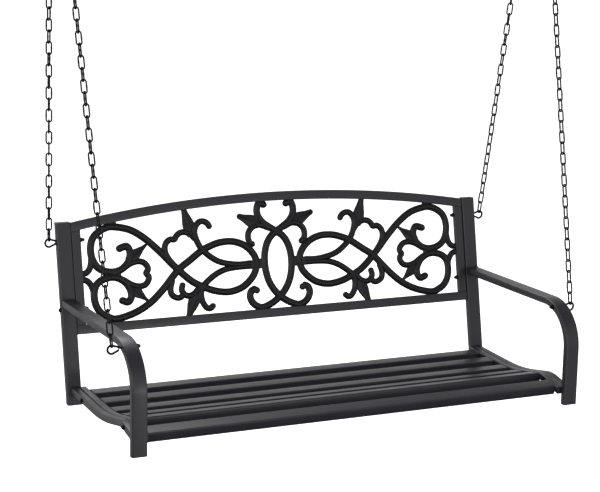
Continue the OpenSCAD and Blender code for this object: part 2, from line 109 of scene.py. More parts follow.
WASHER = 0.0012
WASHER_R = 0.007
WASHER_HOLE = 0.0031
SEAT_BOLTS = (0.075, 0.388)   # along the seat's side
BOLT_PAST = 0.001             # seat bolts' ends past their nuts
WELD_INSET = 0.0004
SLAT_WELD = 0.0016
TUBE_WELD = 0.0015
PANEL_WELD = 0.0011
SLATS = 6
FLOOR_DROP = 0.42             # from the bench's feet to the floor


def low(node):
    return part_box(node)[0]


def high(node):
    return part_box(node)[1]


def middle(node):
    lowest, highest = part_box(node)
    return (lowest + highest) / 2


BENCH_HALF = high("right_arm_and_leg").x
BENCH_FRONT = low("right_arm_and_leg").y
ARM_TOP = high("right_arm_and_leg").z
POST_TOP = high("post_top_plugs").z
PANEL_HALF = high("back_bottom_rail").x
WINDOW_HALF = PANEL_HALF - PANEL_STILE
PANEL_FRONT_DEPTH = (MAIN_T - PANEL_DEPTH) / 2
POST_FRONT = (
    -BENCH_FRONT - PANEL_TOP * math.sin(LEAN) - (PANEL_FRONT_DEPTH + PANEL_DEPTH) * math.cos(LEAN)
)
SIDE_X = BENCH_HALF - MAIN_W / 2
ARCH_R = (WINDOW_HALF ** 2 + ARCH_RISE ** 2) / (2 * ARCH_RISE)
ARCH_CENTRE = PANEL_TOP - PANEL_RAIL - ARCH_R


def panel_point(x, up, out=0.0):
    """A point in the back: x, up its slope, and out to the front from the panel's mid-depth."""
    depth = MAIN_T / 2 - out
    return Vector((
        x,
        POST_FRONT + up * math.sin(LEAN) + depth * math.cos(LEAN),
        up * math.cos(LEAN) - depth * math.sin(LEAN),
    ))


UP_SLOPE = Vector((0, math.sin(LEAN), math.cos(LEAN)))
OUT_FRONT = Vector((0, -math.cos(LEAN), math.sin(LEAN)))
ACROSS = Vector((1, 0, 0))


# --- materials ----------------------------------------------------------------------------

def node_tools(material):
    tree = material.node_tree

    def add(kind, **values):
        made = tree.nodes.new(kind)
        for key, value in values.items():
            if hasattr(made, key):
                setattr(made, key, value)
            else:
                made.inputs[key.replace("_", " ")].default_value = value
        return made

    return add, tree.links.new


def coated(name, colours, roughness, mottle_scale, grains, bump, specular=0.5):
    """A coated or moulded surface: mottled colour and gloss, with two sizes of bump.

    colours is (darker, lighter), roughness (smoothest, roughest), and grains the scales of the
    coarse and the fine bump.
    """
    material = bpy.data.materials.new(name)
    material.use_nodes = True
    add, link = node_tools(material)
    shader = material.node_tree.nodes["Principled BSDF"]
    shader.inputs["Specular IOR Level"].default_value = specular
    place = add("ShaderNodeTexCoord")

    mottle = add("ShaderNodeTexNoise", Scale=mottle_scale, Detail=4.0, Roughness=0.6)
    link(place.outputs["Object"], mottle.inputs["Vector"])
    tint = add("ShaderNodeMix", data_type="RGBA")
    tint.inputs["A"].default_value = (*colours[0], 1)
    tint.inputs["B"].default_value = (*colours[1], 1)
    link(mottle.outputs["Fac"], tint.inputs["Factor"])
    link(tint.outputs["Result"], shader.inputs["Base Color"])

    gloss = add("ShaderNodeMapRange", From_Min=0.3, From_Max=0.7)
    gloss.inputs["To Min"].default_value = roughness[0]
    gloss.inputs["To Max"].default_value = roughness[1]
    link(mottle.outputs["Fac"], gloss.inputs["Value"])
    link(gloss.outputs["Result"], shader.inputs["Roughness"])

    coarse = add("ShaderNodeTexNoise", Scale=grains[0], Detail=2.0)
    fine = add("ShaderNodeTexNoise", Scale=grains[1], Detail=3.0, Roughness=0.7)
    heights = add("ShaderNodeMath", operation="MULTIPLY_ADD")
    heights.inputs[1].default_value = 0.35
    relief = add("ShaderNodeBump", Strength=bump[0], Distance=bump[1])
    for grain in (coarse, fine):
        link(place.outputs["Object"], grain.inputs["Vector"])
    link(fine.outputs["Fac"], heights.inputs[0])
    link(coarse.outputs["Fac"], heights.inputs[2])
    link(heights.outputs[0], relief.inputs["Height"])
    link(relief.outputs["Normal"], shader.inputs["Normal"])
    return material


POWDER_COAT = coated(
    "powder_coat", ((0.0170, 0.0158, 0.0230), (0.0235, 0.0222, 0.0305)), (0.33, 0.43),
    14, (420, 1500), (0.16, 0.0004),
)
CAST_COAT = coated(
    "cast_coat", ((0.0060, 0.0060, 0.0080), (0.0110, 0.0110, 0.0135)), (0.38, 0.52),
    30, (240, 900), (0.30, 0.0006), specular=0.3,
)
BLACK_HARDWARE = coated(
    "black_hardware", ((0.0020, 0.0020, 0.0024), (0.0050, 0.0050, 0.0056)), (0.38, 0.50),
    60, (500, 1800), (0.15, 0.0003), specular=0.22,
)
BLACK_PLASTIC = coated(
    "black_plastic", ((0.0090, 0.0090, 0.0095), (0.0160, 0.0160, 0.0165)), (0.48, 0.60),
    50, (700, 2400), (0.22, 0.0003), specular=0.4,
)
WELD_COAT = coated(
    "weld_coat", ((0.0160, 0.0155, 0.0205), (0.0220, 0.0215, 0.0275)), (0.36, 0.50),
    80, (380, 1200), (0.30, 0.0006),
)


# --- meshes -------------------------------------------------------------------------------

class Shape:
    """Points and faces of one piece, gathered from several closed surfaces."""

    def __init__(self):
        self.points = []
        self.faces = []
        self.count = 0

    def add(self, points, faces):
        points = np.asarray(points, float).reshape(-1, 3)
        self.points.append(points)
        self.faces += [tuple(i + self.count for i in face) for face in faces]
        self.count += len(points)

    def sweep(self, rings, closed=False):
        """Joins rings of equal length into a skin, with flat ends unless it closes on itself."""
        rings = np.asarray(rings, float)
        n, m = rings.shape[:2]
        faces = []
        for i in range(n if closed else n - 1):
            a, b = i * m, (i + 1) % n * m
            for j in range(m):
                k = (j + 1) % m
                faces.append((a + j, a + k, b + k, b + j))
        if not closed:
            faces.append(tuple(reversed(range(m))))
            faces.append(tuple(range((n - 1) * m, n * m)))
        self.add(rings.reshape(-1, 3), faces)

    def piece(self, name, material, body, nodes=(), sharp=35):
        mesh = bpy.data.meshes.new(name)
        mesh.from_pydata(np.concatenate(self.points).tolist(), [], self.faces)
        mesh.validate()
        mesh.shade_smooth()
        mesh.set_sharp_from_angle(angle=math.radians(sharp))
        mesh.materials.append(material)
        made = bpy.data.objects.new(name, mesh)
        bpy.context.scene.collection.objects.link(made)
        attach(made, body)
        if nodes:
            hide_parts(*nodes)


def rounded_box(width, height, corner, steps=5):
    """Outline of a rounded box, counter-clockwise, as (across, up) pairs."""
    outline = []
    for quarter, (sx, sy) in enumerate(((1, 1), (-1, 1), (-1, -1), (1, -1))):
        centre = (sx * (width / 2 - corner), sy * (height / 2 - corner))
        for k in range(steps + 1):
            turn = math.radians(90 * quarter + 90 * k / steps)
            outline.append((centre[0] + corner * math.cos(turn), centre[1] + corner * math.sin(turn)))
    return outline


def circle(radius, steps=12):
    return [
        (radius * math.cos(2 * math.pi * k / steps), radius * math.sin(2 * math.pi * k / steps))
        for k in range(steps)
    ]


def ring_at(outline, centre, across, up):
    """An outline placed at centre, in the plane of the unit vectors across and up."""
    flat = np.asarray(outline, float)
    return np.asarray(centre, float) + flat[:, :1] * np.asarray(across) + flat[:, 1:] * np.asarray(up)


def slide_to_plane(ring, heading, plane_point, plane_normal):
    """Moves a ring's points along heading until they lie in a plane."""
    heading, normal = np.asarray(heading, float), np.asarray(plane_normal, float)
    gap = (np.asarray(plane_point, float) - ring) @ normal / (heading @ normal)
    return ring + gap[:, None] * heading


def end_plane(y=None, z=None):
    """A plane at that y or z, as (point, normal)."""
    if y is not None:
        return Vector((0, y, 0)), Vector((0, 1, 0))
    return Vector((0, 0, z)), Vector((0, 0, 1))


POST_PLANE = (Vector((0, POST_FRONT, 0)), OUT_FRONT)


# --- bent runs in the YZ plane ------------------------------------------------------------

def step_end(y, z, heading, length, turn):
    """Where a run is after a straight, or after a bend that turns up by turn degrees."""
    a = math.radians(heading)
    if turn == 0:
        return y + length * math.cos(a), z + length * math.sin(a), heading
    b = math.radians(heading + turn)
    r = length / math.radians(turn)
    return y + r * (math.sin(b) - math.sin(a)), z + r * (math.cos(a) - math.cos(b)), heading + turn


def run_states(path, y, z, heading, every=2.5):
    """(y, z, heading) along a path of (length, turn) steps, a bend taking one every few degrees."""
    states = [(y, z, heading)]
    for length, turn in path:
        count = 1 if turn == 0 else math.ceil(abs(turn) / every)
        start = states[-1]
        for k in range(1, count + 1):
            states.append(step_end(*start, length * k / count, turn * k / count))
    return states


def state_at(path, start, distance):
    """(y, z, heading) at a distance along a path."""
    here = start
    for length, turn in path:
        if distance <= length:
            return step_end(*here, distance, turn * distance / length)
        here = step_end(*here, length, turn)
        distance -= length
    return here


def run_frame(heading):
    """Unit vectors along a run and square to it, in the YZ plane."""
    a = math.radians(heading)
    return Vector((0, math.cos(a), math.sin(a))), Vector((0, -math.sin(a), math.cos(a)))


def run_rings(outline, x, states, first=None, last=None):
    """Rings of a run at x; first and last are planes that its ends are cut by."""
    rings = []
    for y, z, heading in states:
        along, square = run_frame(heading)
        rings.append(ring_at(outline, (x, y, z), ACROSS, square))
    if first:
        rings[0] = slide_to_plane(rings[0], run_frame(states[0][2])[0], *first)
    if last:
        rings[-1] = slide_to_plane(rings[-1], run_frame(states[-1][2])[0], *last)
    return rings


ARM_MID_R = ARM_BEND - MAIN_T / 2
ARM_START = (BENCH_FRONT + MAIN_T / 2, PLUG_CAP, 90)
ARM_PATH = [
    (ARM_TOP - ARM_BEND - PLUG_CAP, 0),
    (ARM_MID_R * math.pi / 2, -90),
    (0.350, 0),
]

SEAT_START = (BENCH_FRONT + MAIN_T - 0.004, 0.0359, 12.5)
SEAT_PATH = [(0.072, 0), (0.0442, -23), (0.058, 0), (0.1361, 13), (0.190, 0)]
FIRST_SLAT = 0.036
SLAT_PITCH = 0.078
SLAT_W = 0.040
SLAT_T = 0.026
INNER_RAIL_X = (low("seat_right_rail").x + high("seat_right_rail").x) / 2
SLAT_END = low("seat_right_rail").x


def build_arms():
    outline = rounded_box(MAIN_W, MAIN_T, MAIN_CORNER, 6)
    for side, sign in SIDES.items():
        shape = Shape()
        states = run_states(ARM_PATH, *ARM_START, every=2)
        shape.sweep(run_rings(outline, sign * SIDE_X, states, last=POST_PLANE))
        shape.piece(side + "_arm_and_leg_tube", POWDER_COAT, SWING, [side + "_arm_and_leg"])


def build_posts():
    outline = rounded_box(MAIN_W, MAIN_T, MAIN_CORNER, 6)
    for side, sign in SIDES.items():
        shape = Shape()
        rings = []
        for height in (PLUG_CAP, POST_TOP - PLUG_CAP):
            ring = ring_at(outline, panel_point(sign * SIDE_X, height), ACROSS, -OUT_FRONT)
            rings.append(slide_to_plane(ring, UP_SLOPE, *end_plane(z=height)))
        shape.sweep(rings)
        shape.piece(side + "_back_post_tube", POWDER_COAT, SWING, [side + "_back_post"])


def build_seat_rails():
    outline = rounded_box(RAIL_W, RAIL_H, RAIL_CORNER)
    states = run_states(SEAT_PATH, *SEAT_START, every=1.5)
    leg_back = end_plane(y=BENCH_FRONT + MAIN_T)
    seat_front = end_plane(y=low("seat_right_rail").y)
    seat_back = end_plane(y=high("seat_right_rail").y)
    for side, sign in SIDES.items():
        outer = Shape()
        outer.sweep(run_rings(outline, sign * SIDE_X, states, leg_back, POST_PLANE))
        outer.piece(side + "_side_rail_tube", POWDER_COAT, SWING, [side + "_side_rail"])
        inner = Shape()
        inner.sweep(run_rings(outline, sign * INNER_RAIL_X, states, seat_front, seat_back))
        inner.piece("seat_" + side + "_rail_tube", POWDER_COAT, SWING, ["seat_" + side + "_rail"])


def slat_middle(index):
    """Middle of a slat's section, and the unit vectors along the seat's side and square to it."""
    y, z, heading = state_at(SEAT_PATH, SEAT_START, FIRST_SLAT + index * SLAT_PITCH)
    along, square = run_frame(heading)
    return Vector((0, y, z)) + square * (RAIL_H - SLAT_T) / 2, along, square


def build_slats():
    outline = rounded_box(SLAT_W, SLAT_T, SLAT_CORNER, 6)
    for index in range(SLATS):
        centre, along, square = slat_middle(index)
        shape = Shape()
        shape.sweep([
            ring_at(outline, centre + ACROSS * x, along, square) for x in (SLAT_END, -SLAT_END)
        ])
        name = "seat_slat_%d" % (index + 1)
        shape.piece(name + "_tube", POWDER_COAT, SWING, [name])


# --- back panel frame ---------------------------------------------------------------------

def arch_height(x, radius=ARCH_R):
    """Height of an arc round the arch's centre, up the slope."""
    return ARCH_CENTRE + math.sqrt(radius ** 2 - x ** 2)


def build_panel_frame():
    outline = rounded_box(PANEL_RAIL, PANEL_DEPTH, PANEL_CORNER, 4)
    arch = Shape()
    rings = []
    reach = math.asin(PANEL_HALF / (ARCH_R + PANEL_RAIL / 2))
    steps = 96
    for k in range(steps + 1):
        turn = reach * (2 * k / steps - 1)
        outward = (ACROSS * math.sin(turn) + UP_SLOPE * math.cos(turn))
        centre = panel_point(0, ARCH_CENTRE) + outward * (ARCH_R + PANEL_RAIL / 2)
        ring = ring_at(outline, centre, outward, OUT_FRONT)
        if k in (0, steps):
            heading = ACROSS * math.cos(turn) - UP_SLOPE * math.sin(turn)
            ring = slide_to_plane(ring, heading, ACROSS * math.copysign(PANEL_HALF, turn), ACROSS)
        rings.append(ring)
    arch.sweep(rings)
    arch.piece("back_arch_tube", POWDER_COAT, SWING, ["back_top_rail"])

    bottom = Shape()
    centre = panel_point(0, PANEL_LOW + PANEL_RAIL / 2)
    bottom.sweep([
        ring_at(outline, centre + ACROSS * x, UP_SLOPE, OUT_FRONT) for x in (-PANEL_HALF, PANEL_HALF)
    ])
    bottom.piece("back_bottom_tube", POWDER_COAT, SWING, ["back_bottom_rail"])

    outline = rounded_box(PANEL_STILE, PANEL_DEPTH, PANEL_CORNER, 4)
    for side, sign in SIDES.items():
        x = sign * (PANEL_HALF - PANEL_STILE / 2)
        foot = ring_at(outline, panel_point(x, PANEL_LOW + PANEL_RAIL), ACROSS, -OUT_FRONT)
        head = ring_at(outline, panel_point(x, 0), ACROSS, -OUT_FRONT)
        for point in head:
            point += np.asarray(UP_SLOPE) * arch_height(point[0])
        shape = Shape()
        shape.sweep([foot, head])
        shape.piece("back_" + side + "_stile_tube", POWDER_COAT, SWING, ["back_" + side + "_stile"])


# --- cast scroll --------------------------------------------------------------------------

# Middle lines of the bars in the right half, in millimetres: x from the middle of the back and
# the height up its slope. After each line comes how far the bar stands over the others.
LONG_BARS = [
    ([(461, 403), (442, 408), (434, 399), (432, 386), (436, 370), (447, 356), (462, 346),
      (482, 342), (504, 345), (523, 355), (535, 371), (541, 391), (541, 413), (534, 434),
      (519, 449), (499, 459), (476, 462), (429, 451), (389, 426), (349, 389), (309, 346),
      (264, 304), (229, 284), (194, 270), (154, 264), (119, 271), (94, 286), (74, 308), (64, 334)], 0.0),
    ([(462, 264), (447, 259), (438, 268), (436, 281), (440, 296), (451, 312), (469, 324),
      (489, 328), (512, 324), (529, 314), (538, 298), (540, 276), (535, 253), (522, 234),
      (502, 222), (479, 217), (429, 229), (384, 252), (344, 286), (299, 333), (264, 357),
      (224, 383), (184, 398), (154, 402), (129, 400), (104, 391), (84, 376), (70, 356), (64, 334)], 0.5),
]
TIES = [
    ([(541, 384), (543, 368), (548, 354), (557, 345), (569, 342)], -0.3),
    ([(540, 288), (543, 302), (549, 315), (558, 324), (569, 327)], -0.3),
]
HEART = [
    ([(479, 338), (456, 348), (435, 360), (416, 365), (399, 363), (388, 354), (384, 343),
      (390, 333)], -0.2),
    ([(479, 329), (454, 318), (434, 305), (415, 299), (398, 300), (387, 309), (383, 321),
      (390, 332)], -0.4),
]
BRANCHES = [
    ([(84, 338), (119, 337), (154, 342), (182, 351), (206, 367), (226, 386), (238, 408),
      (244, 431), (240, 448), (229, 460), (216, 461), (205, 455), (200, 447)], 0.8),
    ([(84, 330), (119, 330), (154, 327), (182, 318), (207, 303), (226, 287), (234, 272),
      (235, 256), (231, 240), (222, 227), (212, 223), (203, 229)], -0.3),
    ([(244, 416), (256, 429), (272, 435), (286, 434), (297, 426), (303, 417), (315, 418),
      (326, 411), (332, 398), (331, 382), (323, 366), (311, 350), (301, 337)], -0.5),
    ([(238, 283), (254, 268), (270, 262), (284, 267), (291, 280), (288, 292)], -0.3),
    ([(317, 306), (323, 286), (321, 270), (310, 261), (298, 259), (290, 264)], -0.5),
]
MIDDLE_BAR = [
    ([(34, 497), (48, 501), (55, 484), (52, 465), (40, 448), (22, 435), (0, 421), (-17, 409),
      (-30, 391), (-38, 368), (-41, 342), (-39, 312), (-31, 283), (-17, 259), (0, 241), (18, 228),
      (36, 219), (54, 214), (71, 218), (85, 230), (91, 246), (87, 260), (77, 266)], 0.2),
    ([(24, 432), (40, 439), (56, 442), (72, 436), (83, 424), (86, 408), (82, 395), (75, 390)], -0.3),
]
# Leaves: root, tip, widest, and how blunt the tip is
LEAVES = [
    ((440, 367), (387, 407), 29, 0.3),
    ((438, 300), (392, 260), 29, 0.3),
    ((251, 422), (272, 500), 31, 0.5),
    ((248, 268), (278, 201), 29, 0.5),
    ((50, 443), (108, 468), 31, 0.55),
]
# The round end of the middle bar's lower curl: x, height and radius
CURL_END = (70, 262, 9.5)
# Blocks: x, height, width, height of the block, how far its face stands out, and its corners.
# In order: the collar and its lip, the join to the middle oval, the join of the C curls, and
# their joins to the arch and to the stile.
BLOCKS = [
    (78, 333.5, 11, 24, 5.4, 2.0),
    (72.5, 333.5, 4, 20, 4.9, 1.2),
    (52, 335, 13, 28, 2.2, 4.0),
    (478, 333.5, 34, 15, 2.2, 4.0),
    (478, arch_height(0.478) / MM - 2, 24, 9, 1.6, 3.0),
    (566, 334.5, 8, 30, 2.4, 2.5),
]
# Half of a bar's section from the back to the crest: across in half widths, out in half depths
BAR_PROFILE = [
    (0.78, -1.0), (0.95, -0.90), (1.0, -0.72), (1.0, 0.12), (0.93, 0.27), (0.62, 0.36),
    (0.50, 0.70), (0.33, 0.92), (0.14, 0.99),
]
LEAF_PROFILE = [
    (0.80, -1.0), (0.96, -0.85), (1.0, -0.6), (0.98, -0.05), (0.88, 0.15), (0.62, 0.38),
    (0.38, 0.52), (0.16, 0.60), (0.08, 0.86),
]


def smooth_line(points, spacing=2.6):
    """A smooth curve through points, evenly spaced, as points and unit normals."""
    p = np.asarray(points, float)
    p = np.concatenate([[2 * p[0] - p[1]], p, [2 * p[-1] - p[-2]]])
    dense = []
    for i in range(1, len(p) - 2):
        a, b, c, d = p[i - 1:i + 3]
        for t in np.arange(0, 1, 0.05):
            dense.append(0.5 * (
                2 * b + (c - a) * t + (2 * a - 5 * b + 4 * c - d) * t ** 2
                + (3 * b - a - 3 * c + d) * t ** 3
            ))
    dense = np.asarray(dense + [p[-2]])
    travel = np.concatenate([[0], np.cumsum(np.linalg.norm(np.diff(dense, axis=0), axis=1))])
    count = max(int(travel[-1] / spacing), 4)
    at = np.linspace(0, travel[-1], count + 1)
    line = np.stack([np.interp(at, travel, dense[:, k]) for k in (0, 1)], axis=1)
    ahead = np.gradient(line, axis=0)
    ahead /= np.linalg.norm(ahead, axis=1)[:, None]
    return line, np.stack([-ahead[:, 1], ahead[:, 0]], axis=1), ahead


def full_profile(half):
    """Both halves of a section, round from the back left to the back right over the crest."""
    crest = (0.0, 1.0)
    return [(-u, v) for u, v in half] + [crest] + list(reversed(half))


def relief_ring(profile, centre, normal, half_width, half_depth, lift, mirror):
    """A section of the casting, placed in the back."""
    ring = []
    for u, v in profile:
        x = centre[0] + normal[0] * u * half_width
        up = centre[1] + normal[1] * u * half_width
        ring.append(panel_point(mirror * x * MM, up * MM, (v * half_depth + lift) * MM))
    return ring


def add_bar(shape, points, lift, width, mirror):
    """A ridged bar with round ends, along a middle line."""
    profile = full_profile(BAR_PROFILE)
    line, normals, ahead = smooth_line(points)
    half_w, half_d = width / MM / 2, (CAST_DEPTH / 2 + CAST_CREST) / MM
    rings = []

    def end_rings(centre, normal, outward, order):
        for k in order:
            turn = math.radians(k)
            size = max(math.cos(turn), 0.04)
            rings.append(relief_ring(
                profile, centre + outward * half_w * math.sin(turn), normal,
                half_w * size, half_d * (0.55 + 0.45 * size), lift, mirror,
            ))

    caps = (88, 72, 54, 36, 18)
    end_rings(line[0], normals[0], -ahead[0], caps)
    for centre, normal in zip(line, normals):
        rings.append(relief_ring(profile, centre, normal, half_w, half_d, lift, mirror))
    end_rings(line[-1], normals[-1], ahead[-1], reversed(caps))
    shape.sweep(rings if mirror < 0 else rings[::-1])


def add_leaf(shape, root, tip, width, blunt, mirror):
    """A leaf with a raised vein, from its root to its tip."""
    profile = full_profile(LEAF_PROFILE)
    root, tip = np.asarray(root, float), np.asarray(tip, float)
    axis = tip - root
    length = np.linalg.norm(axis)
    ahead = axis / length
    normal = np.array((-ahead[1], ahead[0]))
    half_d = CAST_DEPTH / MM / 2
    steps = 22
    rings = []
    for k in range(steps + 1):
        t = k / steps
        half_w = width / 2 * ((1 - t) * 0.75 + t * blunt + 0.9 * math.sin(math.pi * t) * (1 - t))
        rings.append(relief_ring(profile, root + axis * t, normal, half_w, half_d, LEAF_LIFT, mirror))
    for turn in (30, 60, 85):
        size = math.cos(math.radians(turn))
        out = width / 2 * blunt * math.sin(math.radians(turn))
        rings.append(relief_ring(
            profile, tip + ahead * out, normal, width / 2 * blunt * size,
            half_d * (0.5 + 0.5 * size), LEAF_LIFT, mirror,
        ))
    shape.sweep(rings if mirror < 0 else rings[::-1])


def add_block(shape, x, up, width, height, out, corner, mirror):
    """A rounded block of the casting: its middle, size and how far its face stands out."""
    back = -CAST_DEPTH / MM / 2
    levels = [(0.86, back), (1.0, back + 1.2), (1.0, out - 1.2), (0.93, out - 0.4), (0.80, out)]
    rings = []
    for size, level in levels:
        outline = rounded_box(width * size, height * size, corner * size, 3)
        rings.append([
            panel_point(mirror * (x + u) * MM, (up + v) * MM, level * MM) for u, v in outline
        ])
    shape.sweep(rings if mirror > 0 else rings[::-1])


def add_ball(shape, x, up, radius, mirror):
    """The round end of a curl: a button with a domed face."""
    back = -CAST_DEPTH / MM / 2
    levels = [(0.80, back), (0.96, back + 0.6), (1.0, back + 1.6), (1.0, 1.0)]
    dome = 4.6
    for turn in (20, 40, 60, 80, 88):
        levels.append((math.cos(math.radians(turn)), 1.0 + dome * math.sin(math.radians(turn))))
    rings = []
    for size, level in levels:
        rings.append([
            panel_point(mirror * (x + u) * MM, (up + v) * MM, level * MM)
            for u, v in circle(radius * size, 28)
        ])
    shape.sweep(rings if mirror > 0 else rings[::-1])


def build_scroll():
    shape = Shape()
    for mirror in (1, -1):
        for group in (LONG_BARS, TIES, HEART, BRANCHES, MIDDLE_BAR):
            for k, (points, lift) in enumerate(group):
                wide = group is LONG_BARS or group is MIDDLE_BAR and k == 0
                over = CROSSING_STEP if group is MIDDLE_BAR and mirror > 0 else 0.0
                add_bar(shape, points, lift + over, BAR_WIDTH if wide else CURL_WIDTH, mirror)
        for leaf in LEAVES:
            add_leaf(shape, *leaf, mirror)
        add_ball(shape, *CURL_END, mirror)
        for block in BLOCKS:
            add_block(shape, *block, mirror)
    shape.piece("back_scroll_relief", CAST_COAT, SWING, ["back_scroll_casting"], sharp=50)


# --- chains and hanging parts -------------------------------------------------------------

def link_rings():
    """One closed link along Z, flat across Y, with the swell of its butt weld on one side."""
    bend = (LINK_WIDTH - LINK_WIRE) / 2
    half = (LINK_LENGTH + LINK_WIRE - 2 * bend) / 2
    weld = (
        (-0.40, 1.0), (-0.22, 1.02), (-0.13, 1.12), (0.0, 1.17), (0.13, 1.12), (0.22, 1.02), (0.40, 1.0),
    )
    stations = []

    def add_bend(first, middle_z):
        for k in range(11):
            turn = math.radians(first + 18 * k)
            at = (bend * math.cos(turn), middle_z + bend * math.sin(turn))
            stations.append((*at, math.degrees(turn) + 90, 1.0))

    add_bend(0, half)
    stations.append((-bend, 0.0, 270, 1.0))
    add_bend(180, -half)
    for height, swell in weld:
        stations.append((bend, 2 * half * height, 90, swell))
    rings = []
    for y, z, heading, swell in stations:
        _, square = run_frame(heading)
        rings.append(ring_at(circle(LINK_WIRE / 2 * swell, 12), (0, y, z), ACROSS, square))
    return np.asarray(rings)


def chain_links(eye, ring, sign):
    """Places of a chain's links as 4x4 matrices; its line runs between the wires it hangs on."""
    way = ring - eye
    start = eye + Vector((way.x, 0, way.z)).normalized() * EYE_R
    end = ring - Vector((0, way.y, way.z)).normalized() * RING_R
    line = end - start
    up = line.normalized()
    from_eye = EYE_WIRE / 2 + LINK_WIRE / 2 + RUNNING_GAP
    past_ring = RING_WIRE / 2 + LINK_WIRE / 2 + RUNNING_GAP
    outer = LINK_LENGTH + LINK_WIRE
    run = line.length + from_eye + past_ring - outer
    gaps = math.ceil(run / (LINK_LENGTH - RUNNING_GAP))
    twist = math.pi / 2 if gaps % 2 == 0 else 0.0
    tilt = Vector((0, 0, 1)).rotation_difference(up).to_matrix().to_4x4()
    places = []
    for i in range(gaps + 1):
        centre = start + up * (outer / 2 - from_eye + i * run / gaps)
        turn = Matrix.Rotation(sign * i * (math.pi / 2 + twist / gaps), 4, "Z")
        places.append(Matrix.Translation(centre) @ tilt @ turn)
    return places


def eye_middle(node, sign):
    """Middle of an eye bolt's loop, on the outer end of its box."""
    reach = EYE_R + EYE_WIRE / 2
    outer = high(node).x if sign > 0 else low(node).x
    return Vector((outer - sign * reach, middle(node).y, low(node).z + reach))


def build_chains():
    one = link_rings()
    for side, sign in SIDES.items():
        ring = middle(side + "_hanging_ring")
        for end in ("front", "back"):
            shape = Shape()
            eye = eye_middle("%s_%s_eye_bolt" % (side, end), sign)
            for place in chain_links(eye, ring, sign):
                turned = one.reshape(-1, 3) @ np.asarray(place.to_3x3()).T
                turned = turned + np.asarray(place.translation)
                shape.sweep(turned.reshape(one.shape), closed=True)
            name = "%s_%s_chain" % (side, end)
            shape.piece(name + "_links", BLACK_HARDWARE, SWING, [name], sharp=60)


def tube_along(shape, points, radius, steps=14, closed=False, normal=(0, 1, 0)):
    """A round wire through points in the plane square to normal; radius may be one per point."""
    points = np.asarray(points, float)
    if closed:
        ahead = np.roll(points, -1, axis=0) - np.roll(points, 1, axis=0)
    else:
        ahead = np.gradient(points, axis=0)
    ahead /= np.linalg.norm(ahead, axis=1)[:, None]
    normal = np.asarray(normal, float)
    radii = np.broadcast_to(radius, len(points))
    rings = []
    for point, heading, r in zip(points, ahead, radii):
        rings.append(ring_at(circle(r, steps), point, normal, np.cross(heading, normal)))
    shape.sweep(rings, closed=closed)


def build_rings():
    for side in SIDES:
        name = side + "_hanging_ring"
        centre = middle(name)
        shape = Shape()
        points, radii = [], []
        for k in range(72):
            turn = 2 * math.pi * k / 72
            points.append(centre + Vector((0, math.cos(turn), math.sin(turn))) * RING_R)
            from_weld = min(k, 72 - k)
            radii.append(RING_WIRE / 2 * (1 + 0.05 * math.exp(-(from_weld / 1.6) ** 2)))
        tube_along(shape, points, radii, 20, closed=True, normal=(1, 0, 0))
        shape.piece(name + "_wire", BLACK_HARDWARE, SWING, [name], sharp=60)


def build_eye_bolts():
    """Bent wire eyes: the wire leaves the shank, goes round in a drop and ends beside it."""
    for side, sign in SIDES.items():
        for end in ("front", "back"):
            name = "%s_%s_eye_bolt" % (side, end)
            loop = eye_middle(name, sign)
            tip = low(name).x if sign > 0 else high(name).x
            shape = Shape()
            points = []
            for k in range(33):
                turn = math.radians(EYE_OPEN - 180 + (360 - 2 * EYE_OPEN) * k / 32)
                points.append(Vector((sign * EYE_R * math.cos(turn), 0, EYE_R * math.sin(turn))))
            # The loop's lower end runs to its cut tip and its upper end into the shank. Each
            # pair is a share of the neck's length and a height over the loop's middle.
            below = ((1.02, EYE_DROP - 0.0042), (0.8, -0.0048))
            above = ((0.84, 0.0058), (0.97, 0.0038), (1.1, EYE_DROP))
            before, after = (
                [Vector((-sign * EYE_NECK * share, 0, rise)) for share, rise in run]
                for run in (below, above)
            )
            outline = [loop + p for p in before + points + after]
            tube_along(shape, outline, EYE_WIRE / 2, 16)
            axis = loop + Vector((0, 0, EYE_DROP))
            add_turned(shape, axis, loop.x - sign * EYE_NECK, tip, [
                (0.0, EYE_WIRE / 2), (0.02, BOLT_R), (0.96, BOLT_R), (1.0, BOLT_R * 0.7),
            ])
            shape.piece(name + "_wire", BLACK_HARDWARE, SWING, [name], sharp=50)


def add_turned(shape, line_at, x_from, x_to, levels, steps=28, flats=None):
    """A turned solid along X. levels are (share of the way, radius), and flats is a hexagon's half
    width that caps each level's radius."""
    rings = []
    for share, radius in levels:
        x = x_from + (x_to - x_from) * share
        ring = []
        for k in range(steps):
            turn = 2 * math.pi * k / steps
            r = radius
            if flats:
                r = min(radius, flats / math.cos((turn + math.pi / 6) % (math.pi / 3) - math.pi / 6))
            ring.append((x, line_at[1] + r * math.cos(turn), line_at[2] + r * math.sin(turn)))
        rings.append(ring)
    shape.sweep(rings if x_to < x_from else rings[::-1])


def nut_levels(cap):
    """Levels of a chamfered hexagon nut, with its domed cap when cap is the whole height."""
    levels = [
        (0.0, NUT_FLAT * 0.98), (0.0006, NUT_CORNER), (HEX_HEIGHT - 0.0007, NUT_CORNER),
        (HEX_HEIGHT, NUT_FLAT * 0.96),
    ]
    if cap:
        dome = NUT_FLAT * 0.9
        barrel = max(cap - dome, HEX_HEIGHT + 0.0002)
        levels += [(HEX_HEIGHT + 0.0001, dome), (barrel, dome)]
        for turn in (20, 40, 60, 78, 88):
            a = math.radians(turn)
            levels.append((barrel + (cap - barrel) * math.sin(a), dome * math.cos(a)))
    return levels


def add_nut(shape, line_at, x, sign, cap=0.0):
    """A nut or cap nut whose seat is at x and whose top points to sign."""
    levels = nut_levels(cap)
    total = levels[-1][0]
    levels = [(at / total, r) for at, r in levels]
    add_turned(shape, line_at, x, x + sign * total, levels, steps=48, flats=NUT_FLAT)


